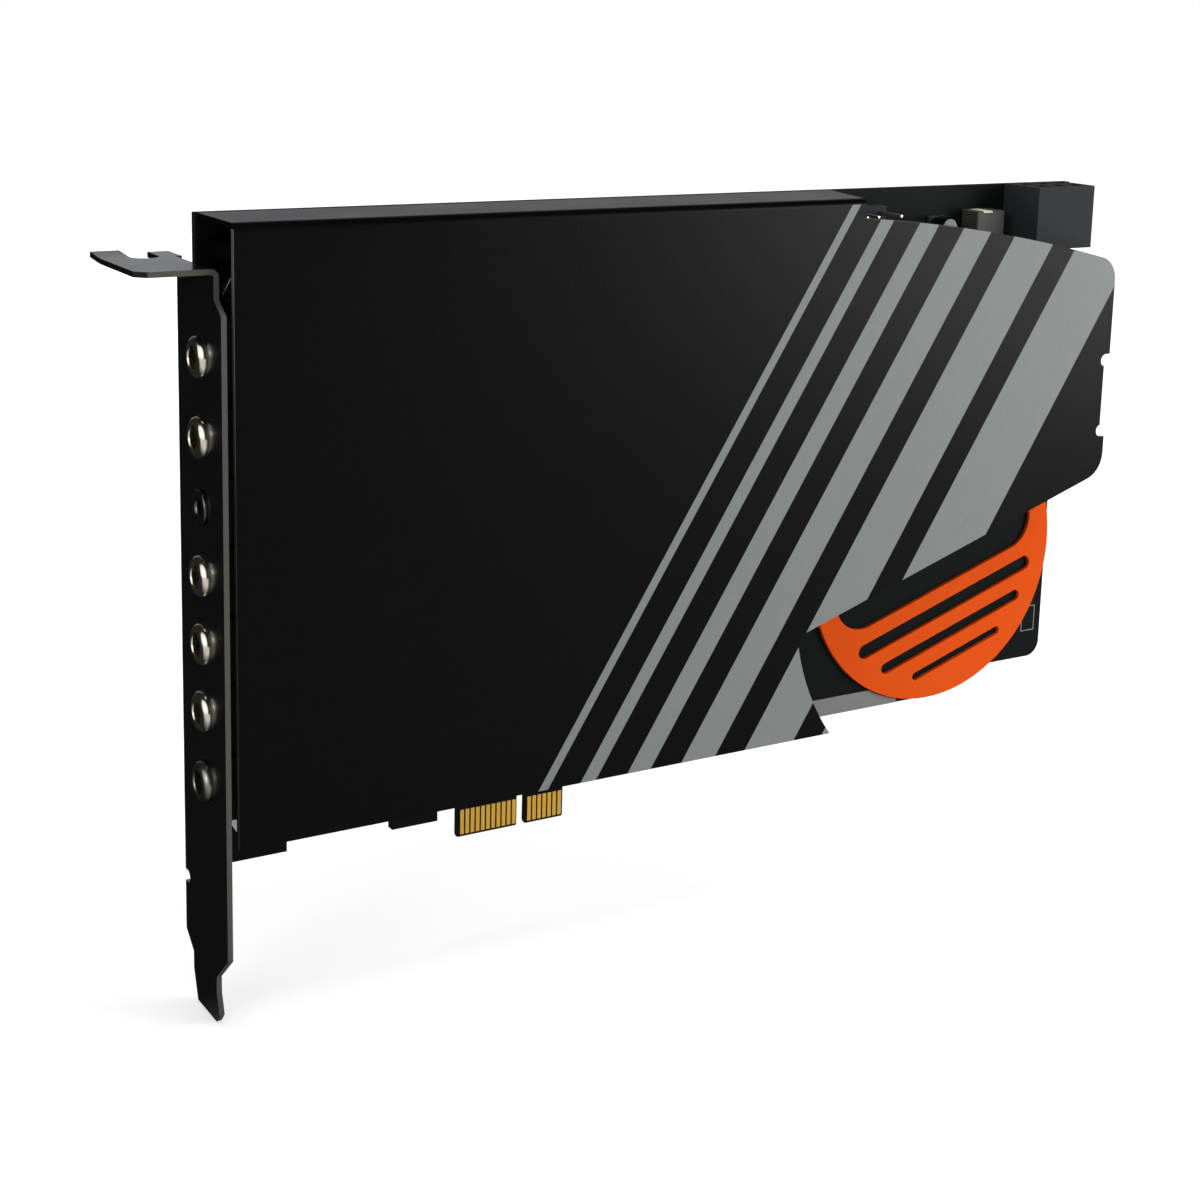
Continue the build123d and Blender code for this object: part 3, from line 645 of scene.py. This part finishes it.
black_plastic = moulded(
    "black_plastic", (0.032, 0.035, 0.037), (0.038, 0.041, 0.043), 0.50, 2200, 0.015, polish=0.01
)
# Blackened steel, made darker still as painted shade inside the cover's open end.
black_oxide = moulded("black_oxide", (0.003, 0.003, 0.003), (0.005, 0.005, 0.005), 0.60, 2200, 0.010, 0.0)
chip_resin = moulded("chip_resin", (0.012, 0.012, 0.012), (0.020, 0.020, 0.020), 0.55, 3200, 0.02)
orange_lacquer = moulded("orange_lacquer", (0.63, 0.074, 0.009), (0.69, 0.084, 0.011), 0.58, 2600, 0.010, 0.0)
can_sleeve = moulded("can_sleeve", (0.020, 0.020, 0.024), (0.028, 0.028, 0.034), 0.30, 900, 0.01)
sleeve_stripe = moulded("sleeve_stripe", (0.30, 0.25, 0.14), (0.36, 0.30, 0.18), 0.35, 900, 0.01)
film_red = moulded("film_red", (0.26, 0.025, 0.018), (0.33, 0.035, 0.022), 0.35, 900, 0.02)
relay_shell = moulded("relay_shell", (0.60, 0.58, 0.52), (0.68, 0.66, 0.60), 0.45, 1400, 0.012)
print("eight moulded finishes")

# %% [markdown]
# ## Two finishes with places of their own
# The choke is a grey pressed block with a cream patch across part of its top face.
# The chip resistors are black with tinned ends. They stand in columns, so the distance to the nearest column
# finds the ends of all of them. Both are masks on the object's own coordinates.

# %% Choke and resistors
choke_low, choke_high = (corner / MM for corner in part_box("power_choke"))
cream_start, cream_end = 0.22, 0.55
cream_depth = 0.3
resistor_columns = sorted({round(place[0], 2) for place in middles("chip_resistors")})
resistor_low, resistor_high = solid_boxes("chip_resistors")[0]
resistor_half = (resistor_high.x - resistor_low.x) / 2
resistor_cap = 0.35


def grey_choke():
    finish = Finish("grey_choke")
    vector = finish.place()
    x, _, z = finish.millimetres(vector)
    speck = finish.noise(vector, scale=1600, detail=3.0)
    cloud = finish.noise(vector, scale=500)
    along = (x - choke_low.x) / (choke_high.x - choke_low.x)
    # A cream patch on part of the top face.
    cream_patch = (z > choke_high.z - cream_depth) & (along > cream_start) & (along < cream_end)
    colour = finish.mix(cloud, (0.040, 0.039, 0.036), (0.065, 0.063, 0.058))
    return finish.surface(
        base_color=finish.mix(cream_patch, colour, (0.62, 0.58, 0.46)),
        roughness=speck * 0.15 + 0.55,
        normal=finish.bump(speck, depth=0.03),
        specular_ior_level=0.3,
    )


def tipped_resistor():
    finish = Finish("tipped_resistor")
    vector = finish.place()
    x = finish.millimetres(vector)[0]
    from_middle = smallest([abs(x - column) for column in resistor_columns])
    tip = from_middle > resistor_half - resistor_cap
    speck = finish.noise(vector, scale=2400)
    return finish.surface(
        base_color=finish.mix(tip, (0.014, 0.014, 0.014), (0.60, 0.60, 0.58)),
        metallic=tip,
        roughness=speck * 0.15 + 0.30,
        normal=finish.bump(speck, depth=0.015),
    )


choke_grey = grey_choke()
resistor_black = tipped_resistor()
print("resistors in", len(resistor_columns), "columns, tipped by", resistor_cap, "mm")

# %% [markdown]
# ## Rounded edges
# A cut sheet or a moulding never has a perfectly sharp edge, and the thin bright line along an edge is what
# tells the eye that a thing is real. The solids are sharp, so a merged copy of each is bevelled and stands in
# for it. Flat triangles are first dissolved into whole faces, because a bevel follows faces.
# A piece may have two finishes. Then a short rule looks at each face's middle and direction and picks one.

# %% Rounded copies
flat_limit = math.radians(1.0)
sharp_limit = math.radians(32)


def make_piece(shape, name, materials, stands_for, rule=None):
    """Turn a bmesh into a piece of the card that stands for a solid and rides with it."""
    if rule:
        for face in shape.faces:
            face.material_index = int(rule(face.calc_center_median() / MM, face.normal))
    data = bpy.data.meshes.new(name)
    shape.to_mesh(data)
    shape.free()
    data.shade_smooth()
    data.set_sharp_from_angle(angle=sharp_limit)
    for material in materials:
        data.materials.append(material)
    piece = bpy.data.objects.new(name, data)
    bpy.context.scene.collection.objects.link(piece)
    weighted = piece.modifiers.new("flat_faces_first", "WEIGHTED_NORMAL")
    weighted.keep_sharp = True
    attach(piece, "root")
    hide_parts(stands_for)
    return piece


def round_edges(shape, width, steps=2):
    """Bevel every sharp edge of a shape by a width in millimetres."""
    closed = [edge for edge in shape.edges if len(edge.link_faces) == 2]
    bmesh.ops.bevel(
        shape,
        geom=[edge for edge in closed if edge.calc_face_angle(0.0) > sharp_limit],
        offset=width * MM,
        offset_type="OFFSET",
        segments=steps,
        profile=0.5,
        affect="EDGES",
        clamp_overlap=True,
        material=-1,
    )
    shape.normal_update()


def rounded_copy(name, width, materials, slot, rule=None):
    """A copy of a solid with its edges rounded by a width in millimetres."""
    shape = welded(name)
    bmesh.ops.dissolve_limit(shape, angle_limit=flat_limit, verts=shape.verts, edges=shape.edges)
    round_edges(shape, width)
    return make_piece(shape, name + "_rounded", materials, name, rule)


print("edges that turn by more than", round(math.degrees(sharp_limit)), "degrees are rounded")

# %% Bracket and cover
strip_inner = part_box("jack_body_1")[0].x / MM
tab_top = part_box("bracket")[1].z / MM
sheet_gauge = 0.9
sheet_round = 0.12
fold_room = 2.0
square_on = 0.9
edge_on = 0.35


def sheared_strip(place, normal):
    """Whether a face of the bracket is one of the strip's narrow cut edges, or the tab's edge in front."""
    if place.z > tab_top - fold_room:
        return normal.y < -square_on
    return place.x < strip_inner + sheet_gauge and abs(normal.x) < edge_on


def sheared_cover(place, normal):
    """Whether a face of the cover is part of its front sheet's cut rim, away from the folds."""
    in_front_sheet = place.y < cover_low.y + sheet_gauge and place.z < cover_high.z - fold_room
    return in_front_sheet and abs(normal.y) < edge_on


rounded_copy("bracket", sheet_round, [bracket_black, sheared_edge], "black_sheet", sheared_strip)
# The cover's cut rim gets the finish with the painted highlight.
rounded_copy("cover", sheet_round, [cover_print, sheared_rim], "black_sheet", sheared_cover)
print("bracket and cover rounded")

# %% Parts on the board
can_base = 0.9
tab_height = 2.9


def beyond(name, axis, depth):
    """A rule that picks the second finish within a depth of a solid's far end along an axis."""
    limit = getattr(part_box(name)[1], axis) / MM - depth
    return lambda place, normal: getattr(place, axis) > limit


rounded = [
    ("round_plate", 0.10, [orange_lacquer], "orange_plate"),
    ("power_socket_housing", 0.12, [black_plastic], "black_plastic"),
    ("power_socket_pins", 0.10, [tin_plate], "tinned"),
    ("front_panel_header", 0.12, [black_plastic], "black_plastic"),
    ("front_panel_pins", 0.10, [pin_plate], "tinned"),
    ("power_choke", 0.30, [choke_grey], "grey_block"),
    ("audio_processor", 0.12, [chip_resin], "chip_black"),
    ("cover_screws", 0.08, [zinc_steel], "steel"),
    ("bracket_screws", 0.08, [zinc_steel], "steel"),
    ("bracket_nuts", 0.10, [zinc_steel], "steel"),
    ("solder_joints", 0.12, [tin_plate], "tinned"),
    ("chip_resistors", 0.05, [resistor_black], "chip_black"),
]
rounded += [(f"jack_body_{number}", 0.25, [black_plastic], "black_plastic") for number in range(1, 8)]
rounded += [(f"op_amp_{number}", 0.12, [chip_resin], "chip_black") for number in range(1, 5)]
rounded += [(f"film_capacitor_{number}", 0.5, [film_red], "film_red") for number in (1, 2)]
rounded += [(f"relay_{number}", 0.4, [relay_shell], "relay_shell") for number in (1, 2)]
rounded += [
    (name, 0.12, [chip_resin], "chip_black")
    for name in ("headphone_amplifier", "analogue_converter", "digital_converter")
]
small_can_rule = beyond("small_can", "y", can_base)
# The can's body gets the aluminium darkened as painted shade.
rounded.append(("small_can", 0.25, [can_aluminium, black_plastic], "can_metal", small_can_rule))
for name in ("regulator_1", "regulator_2", "regulator_3"):
    rounded.append((name, 0.12, [chip_resin, tin_plate], "chip_black", beyond(name, "z", tab_height)))
for piece in rounded:
    rounded_copy(*piece)
print("rounded", len(rounded), "solids")

# %% [markdown]
# ## Turned bushings
# Each socket's bushing is turned from brass bar and plated: a sleeve with a full round rim at its mouth.
# A ring could be cut from a cylinder with booleans, but turning it is closer to how it is made.
# Half of its section is drawn from the solid's own sizes and spun round the socket's axis.
# The rim is a quarter circle of short steps, which mirrors the window as one broad highlight.
# The spin ends where it began, so the seam is merged and the normals are made to agree before the bevel.

# %% Turning
turn_steps = 72
rim_steps = 8


def turn(section, centre, axis):
    """Spin half a section round an axis. Its points are lengths along the axis and out from it, in mm."""
    shape = bmesh.new()
    side = axis.orthogonal().normalized()
    points = [shape.verts.new(centre + (axis * along + side * out) * MM) for along, out in section]
    for first, second in zip(points, points[1:]):
        shape.edges.new((first, second))
    bmesh.ops.spin(
        shape,
        geom=shape.verts[:] + shape.edges[:],
        cent=centre,
        axis=axis,
        dvec=(0, 0, 0),
        angle=2 * math.pi,
        steps=turn_steps,
        use_merge=True,
    )
    bmesh.ops.remove_doubles(shape, verts=shape.verts, dist=weld_reach)
    bmesh.ops.recalc_face_normals(shape, faces=shape.faces)
    return shape


def quarter_round(radius, rim):
    """The points of a rounded rim, from the mouth to the outside."""
    turns = [math.radians(90) * step / rim_steps for step in range(rim_steps + 1)]
    return [(rim * (1 - math.sin(angle)), radius - rim * (1 - math.cos(angle))) for angle in reversed(turns)]


print("a full turn takes", turn_steps, "steps")

# %% Bushings
full_rim = 1.15
small_rims = {"jack_bushing_3": 0.35}
bushing_edge = 0.05
plating = {"jack_bushing_3": (dark_nickel, "dark_nickel"), "jack_bushing_7": (dull_nickel, "bright_nickel")}
bores = {mount["name"]: mount["dims"] for mount in frame["record"]["mounts"] if mount["kind"] == "bore"}

for number in range(1, 8):
    name = f"jack_bushing_{number}"
    low, high = (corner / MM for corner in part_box(name))
    radius = (high.z - low.z) / 2
    length = high.x - low.x
    bore = bores[f"jack_{number}"]["r_mm"]
    flare = length - bores[f"jack_{number}"]["length_mm"]
    rim = quarter_round(radius, small_rims.get(name, full_rim))
    section = [(0, bore + flare), *rim, (length, radius), (length, bore), (flare, bore), (0, bore + flare)]
    mouth = Vector((low.x, (low.y + high.y) / 2, (low.z + high.z) / 2)) * MM
    bushing = turn(section, mouth, Vector((1, 0, 0)))
    round_edges(bushing, bushing_edge)
    plate, plate_slot = plating.get(name, (bright_nickel, "bright_nickel"))
    make_piece(bushing, name + "_turned", [plate], name)
print("turned", len(bores), "bushings")

# %% [markdown]
# ## Capacitor cans
# A capacitor is a drawn can in a shrunk sleeve, with a crimped groove near its foot and a stripe on one side.
# The sleeve stops short of the top, where the bare metal has a scored cross that lets it vent.
# The can is turned like the bushings. Its finishes are picked face by face, and the score is two thin folds
# of the top's own coordinates, kept in a UV layer because every can stands somewhere else.

# %% Capacitor cans
can_groove = 0.35
can_groove_height = 2.0
can_shoulder = 0.5
can_edge = 0.10
sleeve_lip = 0.7
lip_share = 0.9
stripe_half_angle = math.radians(28)
side_on = 0.5
score_half = 0.04
score_reach = 0.62
sleeve_finish, stripe_finish, top_finish = range(3)


def vented_top():
    finish = Finish("vented_top")
    vector = finish.node("ShaderNodeUVMap", {"uv_map": "top"})
    across, up = (abs(part) for part in finish.split(vector)[:2])
    score = ((across & up) < score_half) & ((across | up) < score_reach)
    marks = finish.noise(finish.place(), scale=1400, detail=4.0)
    return finish.surface(
        base_color=finish.mix(score, (0.66, 0.66, 0.67), (0.40, 0.40, 0.41)),
        metallic=1.0,
        roughness=marks * 0.15 + 0.28,
        normal=finish.bump(1 - score, depth=0.12),
    )


def can_rule(foot, radius, height):
    """A rule that picks the sleeve, its stripe or the bare top of one can."""
    bare_radius = radius - can_shoulder - lip_share * sleeve_lip

    def pick(place, normal):
        out = place - foot
        if out.y < skin_depth - height and math.hypot(out.x, out.z) < bare_radius:
            return top_finish
        on_stripe = abs(math.atan2(out.z, out.x)) < stripe_half_angle and abs(normal.y) < side_on
        return stripe_finish if on_stripe else sleeve_finish

    return pick


can_finishes = [can_sleeve, sleeve_stripe, vented_top()]
print("made", can_finishes[top_finish].name)

# %% Turn the cans
for number in range(1, 9):
    name = f"capacitor_{number}"
    low, high = (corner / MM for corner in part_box(name))
    radius = (high.x - low.x) / 2
    height = high.y - low.y
    section = [
        (0, 0),
        (0, radius),
        (can_groove_height - can_groove, radius),
        (can_groove_height, radius - can_groove),
        (can_groove_height + can_groove, radius),
        (height - can_shoulder, radius),
        (height, radius - can_shoulder),
        (height, radius - can_shoulder - sleeve_lip),
        (height, 0),
    ]
    foot = Vector(((low.x + high.x) / 2, high.y, (low.z + high.z) / 2))
    can = turn(section, foot * MM, Vector((0, -1, 0)))
    round_edges(can, can_edge)
    top_map = can.loops.layers.uv.new("top")
    for face in can.faces:
        for loop in face.loops:
            corner = (loop.vert.co / MM - foot) / radius
            loop[top_map].uv = (corner.x, corner.z)
    make_piece(can, name + "_turned", can_finishes, name, can_rule(foot, radius, height))
print("turned eight cans")

# %% [markdown]
# ## Finishes on the solids that stay
# What is small, flat or hidden keeps its own solid and only gets a finish.

# %% Paint the solids that stay
kept = {
    "circuit_board": board_black,
    "edge_contacts_front": gold_plate,
    "edge_contacts_back": gold_plate,
    "ground_strip": dull_tin,
    "cover_posts": black_oxide,
    # The posts' near-black includes painted shade.
    "jack_terminals": tin_plate,
    "chip_leads": tin_plate,
    "capacitor_leads": tin_plate,
}
for node_name, finish_made in kept.items():
    for spot in nodes[node_name].material_slots:
        spot.material = finish_made
print("painted", len(kept), "solids")
